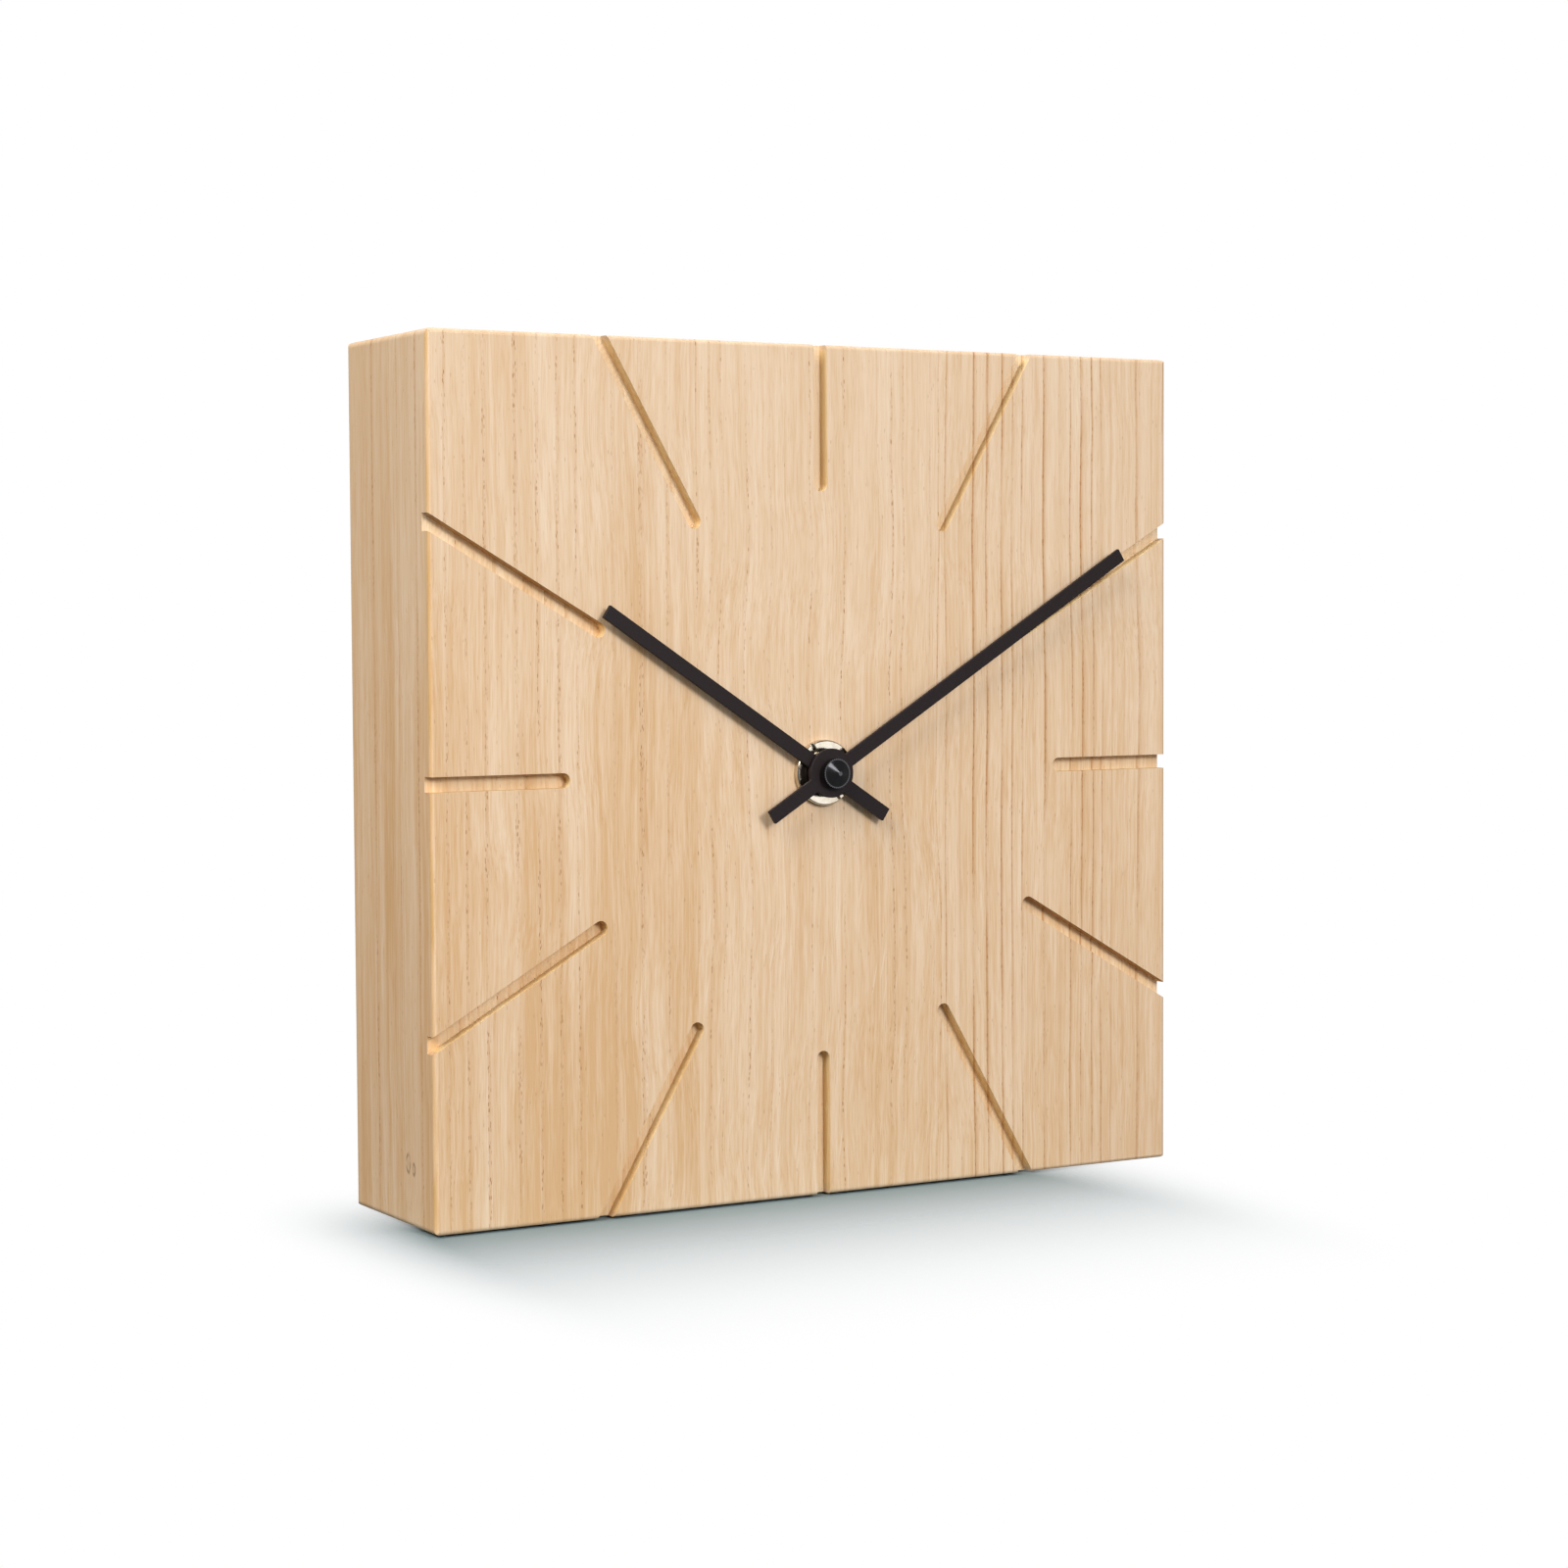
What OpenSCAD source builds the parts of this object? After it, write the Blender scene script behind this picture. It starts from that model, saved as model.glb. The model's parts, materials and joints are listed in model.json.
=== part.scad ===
// Wall clock: a square block glued from three oak staves, with milled hour grooves,
// two baton hands and a battery quartz movement in a pocket behind the dial.
// The origin is the centre of the back face, on the axis of the hands.
// The dial faces -Y, +Z is up and +X is to the right seen from the front.

/* [Oak block] */
// Width and height of the square block
block_size = 185; // [170:1:220]
// Thickness of the block, from dial face to back face
block_depth = 42.5; // [38:0.5:55]
// Rounding of the edges around the dial face
edge_round = 0.9; // [0.5:0.1:3]
// Rounding of the edges around the back face
back_round = 2.2; // [0.5:0.1:4]
// Rounding of the four corners seen from the front
corner_round = 1.3; // [0.5:0.1:4]
// Wood left between the dial face and the movement pocket
front_wall = 8; // [6:0.5:10]
// Height of the movement pocket, milled right across the centre stave from behind
pocket_size = 60; // [58:0.5:61]

/* [Hour grooves] */
// Number of grooves around the dial
groove_count = 12; // [4, 12]
// Width of each groove
groove_w = 3.2; // [2:0.1:6]
// Depth of each groove
groove_depth = 3; // [1:0.25:4.5]
// Distance from the dial centre to a groove's round inner end
groove_start = 60.9; // [40:0.1:70]

/* [Hands] */
// Width of both hands
hand_w = 3.1; // [2:0.1:5]
// Thickness of both hands
hand_t = 0.9; // [0.6:0.05:1.1]
// Minute hand, from the axis to the tip
minute_reach = 90.5; // [60:0.5:92]
// Minute hand, from the axis to the tail
minute_tail = 17.5; // [10:0.5:25]
// Diameter of the minute hand's hub disc
minute_hub_d = 10.7; // [8:0.1:12]
// Hour hand, from the axis to the tip
hour_reach = 64; // [40:0.5:75]
// Hour hand, from the axis to the tail
hour_tail = 17.5; // [10:0.5:25]
// Diameter of the hour hand's hub disc
hour_hub_d = 9.6; // [8:0.1:12]
// Minute hand's angle, clockwise from twelve
minute_angle = 58.3; // [0:0.1:360]
// Hour hand's angle, clockwise from twelve
hour_angle = 303.3; // [0:0.1:360]

/* [Nut and cap] */
// Diameter of the round slotted nut on the dial
nut_d = 14.2; // [11:0.1:18]
// Thickness of the nut
nut_t = 1.7; // [1.2:0.1:2.5]
// Diameter of the knurled ring on the hand cap
cap_d = 6.5; // [5.6:0.1:8]

/* [Wall hanger] */
// Height of the hanger plate's centre above the axis of the hands
hanger_z = 60; // [56:0.5:64]
// Width of the keyhole slot
keyhole_slot_w = 4.8; // [4.2:0.1:5.5]
// Diameter of the keyhole's round entry
keyhole_entry_d = 9.6; // [8.5:0.1:10.5]

/* [Hidden] */
$fn = 64;
over = 1;            // how far a cutting shape runs past the face it opens
gap = 0.3;           // free space between flat faces of two moving parts
play = 0.05;         // radial running clearance of a shaft in its hole
shy = 0.1;           // how far a part stays below the face it could be flush with

// The block's three staves and its movement pocket
stave_w = block_size / 3;

// Heights are counted from the dial face: positive towards the viewer.
hand_gap = 0.5;
nut_slot_w = 0.9;
nut_slot_depth = 0.8;
nut_slot_count = 4;
nut_slot_angle = 29;
nut_chamfer = 0.25;
nut_inner_land = 0.8;
hour_hand_low = nut_t + gap;
hour_hand_top = hour_hand_low + hand_t;
minute_hand_low = hour_hand_top + hand_gap;
minute_hand_top = minute_hand_low + hand_t;
collet_wall = 0.75;
collet_flange = 0.4;

arbor_r = 1.5;
hour_pipe_bore_r = arbor_r + play;
hour_pipe_r = 2.5;
neck_bore_r = hour_pipe_r + play;
neck_r = 4;
neck_top = nut_t - shy;
neck_hole_r = 4.4;

cap_neck_r = 2.45;
cap_neck_t = 1;
cap_ring_t = 1.2;
cap_cone_t = 1.3;
cap_ring_low = minute_hand_top + cap_neck_t;
cap_ring_top = cap_ring_low + cap_ring_t;
cap_top = cap_ring_top + cap_cone_t;
cap_point_r = 0.45;
cap_knurl_count = 40;
cap_knurl_r = 0.16;
cap_roof = 0.4;
cap_thread_top = cap_ring_top - cap_roof;

// Movement: depths are counted from the front of its case into the block.
washer_t = 1;
washer_r = 12;
movement_low = -(front_wall + washer_t);
case_size = 56;
case_corner = 2;
case_depth = 16.5;
case_face_t = 1.6;
case_wall = 1.4;
cover_t = 1.6;
lip_depth = 0.8;
lip_t = 1;
lip_margin = shy;
lip_start = 6;
knob_recess = 0.4;
knob_recess_margin = 1;
shell_depth = case_depth - cover_t;
chamber_half = case_size / 2 - case_wall;
bay_wall_low = -11.4;
bay_wall_t = 0.9;
notch_w = 1.2;
notch_over = 1;
bay_wall_top = bay_wall_low + bay_wall_t;

// Layers of the gear train, as [near, far] depths
hour_layer = [2, 3.2];
cannon_layer = [3.8, 4.8];
centre_layer = [5.6, 6.5];
third_layer = [7, 7.8];
seconds_layer = [8.4, 9.2];
intermediate_layer = [9.8, 10.6];
magnet_layer = [11.1, 12.1];
stator_layer = [11.5, 12.3];
plate_layer = [12.3, 13.3];
board_layer = [13.3, 14.1];
pinion_overlap = 0.15;

// Teeth and pitch radii
cannon_teeth = 12;
setting_teeth = 36;
setting_pinion_teeth = 10;
hour_teeth = 40;
centre_teeth = 64;
third_teeth = 60;
seconds_teeth = 48;
intermediate_teeth = 40;
pinion_teeth = 8;
setting_distance = 12;
train_module = 0.3;
cannon_module = 2 * setting_distance / (cannon_teeth + setting_teeth);
hour_module = 2 * setting_distance / (setting_pinion_teeth + hour_teeth);
pressure_angle = 20;
tooth_fill = 0.78;
addendum = 0.85;
dedendum = 1.15;

// Round windows that lighten a wheel: how many there are, then the radius of their
// ring and of each window as shares of the wheel's radius
wide_windows = [6, 0.62, 0.17];
train_windows = [5, 0.58, 0.2];

// Directions from one axis to the next, anticlockwise from +X
setting_dir = 5;
third_dir = 150;
seconds_dir = 70;
intermediate_dir = -5;
rotor_dir = -5;

function along(direction, distance) = distance * [cos(direction), sin(direction)];
function mesh_distance(one, other) = train_module * (one + other) / 2;

setting_at = along(setting_dir, setting_distance);
third_at = along(third_dir, mesh_distance(pinion_teeth, centre_teeth));
seconds_at = third_at + along(seconds_dir, mesh_distance(pinion_teeth, third_teeth));
intermediate_at = seconds_at
    + along(intermediate_dir, mesh_distance(pinion_teeth, seconds_teeth));
rotor_at = intermediate_at
    + along(rotor_dir, mesh_distance(pinion_teeth, intermediate_teeth));

pivot_r = 0.5;
pivot_hole_r = pivot_r + play;
pivot_start = 0.9;
pivot_hole_start = 0.8;
pivot_end = plate_layer[1] - shy;
minute_pivot_r = 0.6;
centre_seat_r = 1.2;
clutch_t = 0.3;
clutch_rim = 1.2;
centre_hub_rim = 1;
setting_shaft_r = 1.2;
setting_shaft_hole_r = 1.3;
magnet_r = 2.5;

knob_r = 6;
knob_low = case_depth + gap;
knob_t = 3;
knob_grip_count = 20;
knob_grip_r = 0.5;
knob_bore_depth = 2.2;

post_r = 1.5;
post_pin_r = 0.8;
posts = [[-12.5, 22], [3.5, 23.8], [23.5, -7.5], [-10, -8.5]];

// Coil, its core and the stator
coil_x = 22.6;
coil_low = 2;
coil_top = 22;
bobbin_r = 1.9;
bobbin_flange_r = 2.6;
bobbin_flange_t = 0.8;
winding_r = 2.45;
core_w = 3;
core_t = 0.8;
coil_depth = stator_layer[0] - core_t / 2;
core_over = 3;
stator_ring_r = 5.2;
stator_arm_w = 3;
rotor_hole_r = 2.9;
stator_notch_w = 0.8;
stator_bridge = 0.3;
stator_arm_clear = 0.2;
stator_arm_overlap = 2;

// Gear plate, with a step that leaves room for the coil
plate_left = -14.4;
plate_right = 19;
plate_top = 25.4;
plate_step_z = -4.6;

// Circuit board, chip and crystal
board_left = 2;
board_right = 25.4;
board_low = -9.8;
board_top = -3;
chip_r = 2.4;
chip_at = [8.5, -6.4];
chip_t = 0.6;
crystal_r = 0.7;
crystal_length = 6;
crystal_at = [-5.5, -5.6];

// Battery and its contacts
battery_r = 7.1;
battery_sleeve_t = 0.1;
battery_sleeve_short = 0.2;
battery_length = 48.9;
battery_nub_r = 2.75;
battery_nub_t = 1.1;
battery_z = -19;
battery_depth = 9.2;
battery_wall = 0.35;
battery_end_x = -25;
contact_t = 0.3;
contact_clear = 0.1;
contact_inset = 0.2;
contact_w = 8;
contact_bump_r = 2;
bow_reach = 5;
tab_reach = 4;

// Wall hanger
hanger_w = 17;
hanger_length = 45;
hanger_t = 1.5;
hanger_recess = 1.6;
hanger_screw_z = 17;
keyhole_entry_z = -5.5;
keyhole_slot_top = 6.5;
nail_pocket_w = 12.5;
nail_pocket_depth = 10;
screw_r = 1.5;
screw_clear_r = 1.7;
screw_head_r = 3.3;
screw_length = 15;
screw_cross_w = 0.7;
screw_cross_l = 3.4;
screw_cross_depth = 0.9;

// ---------- frames and plain shapes ----------

// Stands children drawn flat, X right and Y up, on the dial face
module dial_frame() {
    translate([0, -block_depth, 0])
        rotate([90, 0, 0])
            children();
}

// Draws children flat on the back face, heights counted into the room
module back_frame() {
    rotate([90, 0, 0])
        children();
}

// Extrudes a flat outline between two heights
module slab(low, high) {
    translate([0, 0, low])
        linear_extrude(high - low)
            children();
}

// Round bar between two heights
module rod(radius, low, high) {
    translate([0, 0, low])
        cylinder(r = radius, h = high - low);
}

// Extrudes a flat outline between two depths of the movement
module layer(near, far) {
    slab(movement_low - far, movement_low - near)
        children();
}

// Round bar between two depths of the movement
module shaft(radius, near, far) {
    rod(radius, movement_low - far, movement_low - near);
}

// Square outline with round corners
module rounded_square(size, corner) {
    square([size - 2 * corner, size], center = true);
    square([size, size - 2 * corner], center = true);
    inset = size / 2 - corner;
    for (x = [-inset, inset], y = [-inset, inset])
        translate([x, y])
            circle(corner);
}

// Upright slot outline with round ends, from one end's centre to the other's
module upright_slot(width, low, high) {
    translate([-width / 2, low])
        square([width, high - low]);
    for (y = [low, high])
        translate([0, y])
            circle(width / 2);
}

// Box given by its low and high corners
module box(low, high) {
    translate(low)
        cube(high - low);
}

// ---------- gears ----------

function involute(angle) = tan(angle) * 180 / PI - angle;

// Half of a tooth's angle at a radius
function half_tooth(teeth, pitch_r, radius) =
    let (base_r = pitch_r * cos(pressure_angle))
    let (here = radius > base_r ? acos(base_r / radius) : 0)
    90 / teeth * tooth_fill + involute(pressure_angle) - involute(here);

function gear_outline(teeth, pitch_r) =
    let (size = 2 * pitch_r / teeth)
    let (radii = [pitch_r - dedendum * size, pitch_r, pitch_r + addendum * size])
    let (halves = [for (r = radii) half_tooth(teeth, pitch_r, r)])
    [
        for (tooth = [0 : teeth - 1])
            for (side = [-1, 1], i = [0 : 2])
                let (k = side < 0 ? i : 2 - i)
                along(360 * tooth / teeth + side * halves[k], radii[k])
    ];

// Gear outline with a tooth, or a gap, pointing in a direction
module gear(teeth, pitch_r, direction, gap_first = false) {
    rotate(direction + (gap_first ? 180 / teeth : 0))
        polygon(gear_outline(teeth, pitch_r));
}

function train_r(teeth) = train_module * teeth / 2;

// Ring of round windows that lightens a wheel
module windows(rule, wheel_r) {
    count = rule[0];
    for (i = [0 : count - 1])
        rotate(i * 360 / count)
            translate([wheel_r * rule[1], 0])
                circle(wheel_r * rule[2]);
}

// One wheel of the train: a wheel, its pinion in front and a pivoted arbor
module train_wheel(at, teeth, wheel_span, toward, pinion_span, pinion_toward) {
    wheel_r = train_r(teeth);
    translate([at[0], at[1], 0]) {
        layer(wheel_span[0], wheel_span[1])
            difference() {
                gear(teeth, wheel_r, toward, true);
                windows(train_windows, wheel_r);
            }
        layer(pinion_span[0] - pinion_overlap, wheel_span[0])
            gear(pinion_teeth, train_r(pinion_teeth), pinion_toward);
        shaft(pivot_r, pivot_start, pivot_end);
    }
}

// ---------- block, grooves and hanger ----------

// Section through the block: the dial face lies along the X axis, the back face above it
module block_side_outline() {
    half = block_size / 2;
    back_y = block_depth - back_round;
    translate([-half, edge_round])
        square([block_size, back_y - edge_round]);
    translate([edge_round - half, 0])
        square([block_size - 2 * edge_round, block_depth / 2]);
    translate([back_round - half, block_depth / 2])
        square([block_size - 2 * back_round, block_depth / 2]);
    for (side = [-1, 1]) {
        translate([side * (half - edge_round), edge_round])
            circle(edge_round);
        translate([side * (half - back_round), back_y])
            circle(back_round);
    }
}

module groove_outline() {
    for (i = [0 : groove_count - 1])
        rotate(i * 360 / groove_count)
            translate([0, groove_start + groove_w / 2])
                upright_slot(groove_w, 0, block_size);
}

// The whole block with its rounded edges
module block_shape() {
    intersection() {
        rotate([90, 0, 0])
            linear_extrude(block_depth)
                rounded_square(block_size, corner_round);
        translate([0, -block_depth, -block_size / 2])
            linear_extrude(block_size)
                block_side_outline();
        rotate([0, 90, 0])
            translate([0, -block_depth, -block_size / 2])
                linear_extrude(block_size)
                    block_side_outline();
    }
}

// Pocket, hanger recess and screw holes, all milled into the centre stave from the back
module back_cuts() {
    back_frame() {
        slab(-over, block_depth - front_wall)
            square([stave_w + 2 * over, pocket_size], center = true);
        translate([0, hanger_z, 0]) {
            slab(-over, hanger_recess)
                hanger_outline();
            slab(0, nail_pocket_depth)
                upright_slot(nail_pocket_w, keyhole_entry_z, keyhole_slot_top);
            for (y = [-hanger_screw_z, hanger_screw_z])
                translate([0, y, 0])
                    rod(screw_r, 0, screw_length + hanger_recess);
        }
    }
}

// One upright stave of the block: -1 is the left one, 0 the centre one, 1 the right one
module stave(side) {
    color("burlywood")
        difference() {
            intersection() {
                block_shape();
                translate([side * stave_w, -block_depth / 2, 0])
                    cube([stave_w, 2 * block_depth, 2 * block_size], center = true);
            }
            dial_frame() {
                slab(-groove_depth, over)
                    groove_outline();
                rod(neck_hole_r, -block_depth, over);
            }
            if (side == 0)
                back_cuts();
        }
}

module oak_stave_left() {
    stave(-1);
}

module oak_stave_centre() {
    stave(0);
}

module oak_stave_right() {
    stave(1);
}

module hanger_outline() {
    inset = (hanger_length - hanger_w) / 2;
    upright_slot(hanger_w, -inset, inset);
}

module hanger_plate() {
    low = hanger_recess - hanger_t;
    head_cone = screw_head_r - screw_clear_r;
    color("silver")
        back_frame()
            translate([0, hanger_z, 0])
                difference() {
                    slab(low, hanger_recess)
                        difference() {
                            hanger_outline();
                            translate([0, keyhole_entry_z])
                                circle(d = keyhole_entry_d);
                            upright_slot(keyhole_slot_w, keyhole_entry_z, keyhole_slot_top);
                        }
                    for (y = [-hanger_screw_z, hanger_screw_z])
                        translate([0, y, 0]) {
                            rod(screw_clear_r, 0, hanger_recess + over);
                            translate([0, 0, low])
                                cylinder(r1 = screw_head_r, r2 = screw_clear_r, h = head_cone);
                        }
                }
}

module hanger_screws() {
    low = hanger_recess - hanger_t + play;
    head = hanger_recess - low;
    color("silver")
        back_frame()
            for (y = [-hanger_screw_z, hanger_screw_z])
                translate([0, hanger_z + y, low])
                    difference() {
                        union() {
                            cylinder(r1 = screw_head_r - 2 * play, r2 = screw_r, h = head);
                            rod(screw_r, head, screw_length);
                        }
                        for (turn = [0, 90])
                            rotate(turn)
                                box([-screw_cross_l / 2, -screw_cross_w / 2, -over],
                                    [screw_cross_l / 2, screw_cross_w / 2, screw_cross_depth]);
                    }
}

// ---------- nut, washer, hands and cap ----------

module dial_nut() {
    inner = neck_r + play;
    outer = nut_d / 2;
    color("lightgray")
        dial_frame()
            difference() {
                rotate_extrude()
                    polygon([
                        [inner, 0], [outer, 0], [outer, nut_t - nut_chamfer],
                        [outer - nut_chamfer, nut_t], [inner, nut_t]
                    ]);
                for (i = [0 : nut_slot_count - 1])
                    rotate(nut_slot_angle + i * 360 / nut_slot_count)
                        box([-nut_slot_w / 2, neck_r + nut_inner_land, nut_t - nut_slot_depth],
                            [nut_slot_w / 2, outer + over, nut_t + over]);
            }
}

module rubber_washer() {
    color("dimgray")
        dial_frame()
            slab(movement_low, movement_low + washer_t)
                difference() {
                    circle(washer_r);
                    circle(neck_hole_r);
                }
}

// Flat baton with a hub disc and a hole for its collet
module baton(reach, tail, hub_r, hole_r) {
    difference() {
        union() {
            translate([-hand_w / 2, -tail])
                square([hand_w, tail + reach]);
            circle(hub_r);
        }
        circle(hole_r);
    }
}

module hour_hand() {
    color("black")
        dial_frame()
            slab(hour_hand_low, hour_hand_top)
                rotate(-hour_angle)
                    baton(hour_reach, hour_tail, hour_hub_d / 2, hour_pipe_r + collet_wall);
}

module hour_hand_collet() {
    color("goldenrod")
        dial_frame()
            slab(hour_hand_low, hour_hand_top)
                difference() {
                    circle(hour_pipe_r + collet_wall);
                    circle(hour_pipe_r);
                }
}

module minute_hand() {
    color("black")
        dial_frame()
            slab(minute_hand_low, minute_hand_top)
                rotate(-minute_angle)
                    baton(minute_reach, minute_tail, minute_hub_d / 2, arbor_r + collet_wall);
}

module minute_hand_collet() {
    inner = arbor_r;
    outer = arbor_r + collet_wall;
    color("goldenrod")
        dial_frame()
            rotate_extrude()
                polygon([
                    [inner, minute_hand_low - collet_flange],
                    [outer + collet_wall, minute_hand_low - collet_flange],
                    [outer + collet_wall, minute_hand_low],
                    [outer, minute_hand_low], [outer, minute_hand_top],
                    [inner, minute_hand_top]
                ]);
}

module hand_cap() {
    ring_r = cap_d / 2;
    cone_r = ring_r - 2 * cap_knurl_r;
    color("black")
        dial_frame()
            difference() {
                union() {
                    rod(cap_neck_r, minute_hand_top, cap_ring_low);
                    slab(cap_ring_low, cap_ring_top)
                        difference() {
                            circle(ring_r);
                            for (i = [0 : cap_knurl_count - 1])
                                rotate(i * 360 / cap_knurl_count)
                                    translate([ring_r, 0])
                                        circle(cap_knurl_r);
                        }
                    translate([0, 0, cap_ring_top])
                        cylinder(r1 = cone_r, r2 = cap_point_r, h = cap_top - cap_ring_top);
                }
                rod(arbor_r, minute_hand_top - over, cap_thread_top);
            }
}

// ---------- movement case ----------

// The part of the case that the rear cover closes, above the battery bay
module covered_area() {
    translate([-case_size / 2, bay_wall_low])
        square([case_size, case_size / 2 - bay_wall_low]);
}

module chamber_outline(margin) {
    half = chamber_half - margin;
    translate([-half, bay_wall_top + margin])
        square([2 * half, half - bay_wall_top - margin]);
}

module bay_outline() {
    translate([-chamber_half, -chamber_half])
        square([2 * chamber_half, chamber_half + bay_wall_low]);
}

// Openings in the bay wall that the contact strips pass through
module contact_notches() {
    for (x = [-chamber_half, chamber_half - notch_w])
        translate([x, bay_wall_low - over])
            square([notch_w, bay_wall_t + 2 * over]);
}

module movement_front_case() {
    color("darkslategray")
        dial_frame() {
            difference() {
                union() {
                    layer(0, case_depth)
                        rounded_square(case_size, case_corner);
                    rod(neck_r, movement_low - case_face_t, neck_top);
                }
                layer(shell_depth, case_depth + over)
                    covered_area();
                layer(case_face_t, shell_depth + over)
                    chamber_outline(0);
                layer(case_face_t, case_depth + over)
                    bay_outline();
                layer(plate_layer[0] - notch_over, shell_depth + over)
                    contact_notches();
                rod(neck_bore_r, movement_low - case_face_t - over, neck_top + over);
                for (at = [third_at, seconds_at, intermediate_at, rotor_at, setting_at])
                    translate([at[0], at[1], 0])
                        shaft(pivot_hole_r, pivot_hole_start, case_face_t + over);
            }
            for (at = posts)
                translate([at[0], at[1], 0]) {
                    shaft(post_r, case_face_t, plate_layer[0]);
                    shaft(post_pin_r, plate_layer[0], plate_layer[1]);
                }
        }
}

module movement_rear_cover() {
    color("darkslategray")
        dial_frame()
            difference() {
                union() {
                    layer(shell_depth, case_depth)
                        intersection() {
                            rounded_square(case_size, case_corner);
                            covered_area();
                        }
                    layer(shell_depth - lip_depth, shell_depth)
                        difference() {
                            chamber_outline(lip_margin);
                            chamber_outline(lip_margin + lip_t);
                            translate([-case_size / 2, bay_wall_low])
                                square([case_size, lip_start]);
                        }
                }
                translate([setting_at[0], setting_at[1], 0]) {
                    shaft(setting_shaft_hole_r, shell_depth - over, case_depth + over);
                    shaft(knob_r + knob_recess_margin, case_depth - knob_recess, case_depth + over);
                }
            }
}

module gear_plate() {
    color("white")
        dial_frame()
            layer(plate_layer[0], plate_layer[1])
                difference() {
                    polygon([
                        [plate_left, board_low], [board_right, board_low],
                        [board_right, plate_step_z], [plate_right, plate_step_z],
                        [plate_right, plate_top], [plate_left, plate_top]
                    ]);
                    for (at = [third_at, seconds_at, intermediate_at, rotor_at])
                        translate(at)
                            circle(pivot_hole_r);
                    circle(minute_pivot_r + play);
                    translate(setting_at)
                        circle(setting_shaft_hole_r);
                    for (at = posts)
                        translate(at)
                            circle(post_pin_r);
                }
}

// ---------- motion work: the gears that turn the hands ----------

module minute_arbor() {
    color("gold")
        dial_frame() {
            rod(arbor_r, movement_low - cannon_layer[0], cap_thread_top);
            layer(cannon_layer[0], cannon_layer[1])
                gear(cannon_teeth, cannon_module * cannon_teeth / 2, setting_dir);
            shaft(centre_seat_r, cannon_layer[1], centre_layer[1]);
            shaft(minute_pivot_r, centre_layer[1], pivot_end);
        }
}

module hour_wheel() {
    wheel_r = hour_module * hour_teeth / 2;
    color("ivory")
        dial_frame()
            difference() {
                union() {
                    layer(hour_layer[0], hour_layer[1])
                        difference() {
                            gear(hour_teeth, wheel_r, setting_dir, true);
                            windows(wide_windows, wheel_r);
                        }
                    rod(hour_pipe_r, movement_low - hour_layer[1], hour_hand_top);
                }
                rod(hour_pipe_bore_r, movement_low - hour_layer[1] - over, hour_hand_top + over);
            }
}

module setting_wheel() {
    wheel_r = cannon_module * setting_teeth / 2;
    pinion_r = hour_module * setting_pinion_teeth / 2;
    back = setting_dir + 180;
    color("ivory")
        dial_frame()
            translate([setting_at[0], setting_at[1], 0]) {
                layer(hour_layer[0] - pinion_overlap, cannon_layer[0])
                    gear(setting_pinion_teeth, pinion_r, back);
                layer(cannon_layer[0] - pinion_overlap, cannon_layer[1] + pinion_overlap)
                    difference() {
                        gear(setting_teeth, wheel_r, back, true);
                        windows(wide_windows, wheel_r);
                    }
                shaft(pivot_r, pivot_start, hour_layer[0]);
                shaft(setting_shaft_r, cannon_layer[1], knob_low + knob_bore_depth);
            }
}

module setting_knob() {
    color("dimgray")
        dial_frame()
            translate([setting_at[0], setting_at[1], 0])
                difference() {
                    layer(knob_low, knob_low + knob_t)
                        difference() {
                            circle(knob_r);
                            for (i = [0 : knob_grip_count - 1])
                                rotate(i * 360 / knob_grip_count)
                                    translate([knob_r, 0])
                                        circle(knob_grip_r);
                        }
                    shaft(setting_shaft_r, knob_low - over, knob_low + knob_bore_depth);
                }
}

module clutch_spring() {
    color("goldenrod")
        dial_frame()
            layer(cannon_layer[1], cannon_layer[1] + clutch_t)
                difference() {
                    circle(centre_seat_r + clutch_rim);
                    circle(centre_seat_r);
                }
}

// ---------- gear train ----------

module centre_wheel() {
    wheel_r = train_r(centre_teeth);
    color("ivory")
        dial_frame()
            difference() {
                union() {
                    layer(centre_layer[0], centre_layer[1])
                        difference() {
                            gear(centre_teeth, wheel_r, third_dir, true);
                            windows(wide_windows, wheel_r);
                        }
                    shaft(centre_seat_r + centre_hub_rim, cannon_layer[1] + clutch_t + shy,
                          centre_layer[0]);
                }
                shaft(centre_seat_r + play, cannon_layer[1], centre_layer[1] + over);
            }
}

module third_wheel() {
    color("ivory")
        dial_frame()
            train_wheel(third_at, third_teeth, third_layer, seconds_dir,
                        centre_layer, third_dir + 180);
}

module seconds_wheel() {
    color("ivory")
        dial_frame()
            train_wheel(seconds_at, seconds_teeth, seconds_layer, intermediate_dir,
                        third_layer, seconds_dir + 180);
}

module intermediate_wheel() {
    color("ivory")
        dial_frame()
            train_wheel(intermediate_at, intermediate_teeth, intermediate_layer, rotor_dir,
                        seconds_layer, intermediate_dir + 180);
}

// ---------- motor ----------

module rotor_pinion() {
    color("ivory")
        dial_frame()
            translate([rotor_at[0], rotor_at[1], 0]) {
                layer(intermediate_layer[0] - pinion_overlap, magnet_layer[0])
                    gear(pinion_teeth, train_r(pinion_teeth), rotor_dir + 180);
                shaft(pivot_r, pivot_start, pivot_end);
            }
}

module rotor_magnet() {
    color("gray")
        dial_frame()
            translate([rotor_at[0], rotor_at[1], 0])
                layer(magnet_layer[0], magnet_layer[1])
                    difference() {
                        circle(magnet_r);
                        circle(pivot_r);
                    }
}

// Arm of the stator, from a core end's height to the rotor ring
module stator_arm(arm_z, foot_x) {
    near = foot_x - stator_arm_w / 2;
    low = min(arm_z, rotor_at[1]);
    high = max(arm_z, rotor_at[1]);
    translate([near, low])
        square([stator_arm_w, high - low]);
    translate([near, arm_z - stator_arm_w / 2])
        square([coil_x - near, stator_arm_w]);
    translate([coil_x, arm_z])
        circle(stator_arm_w / 2);
}

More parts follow.
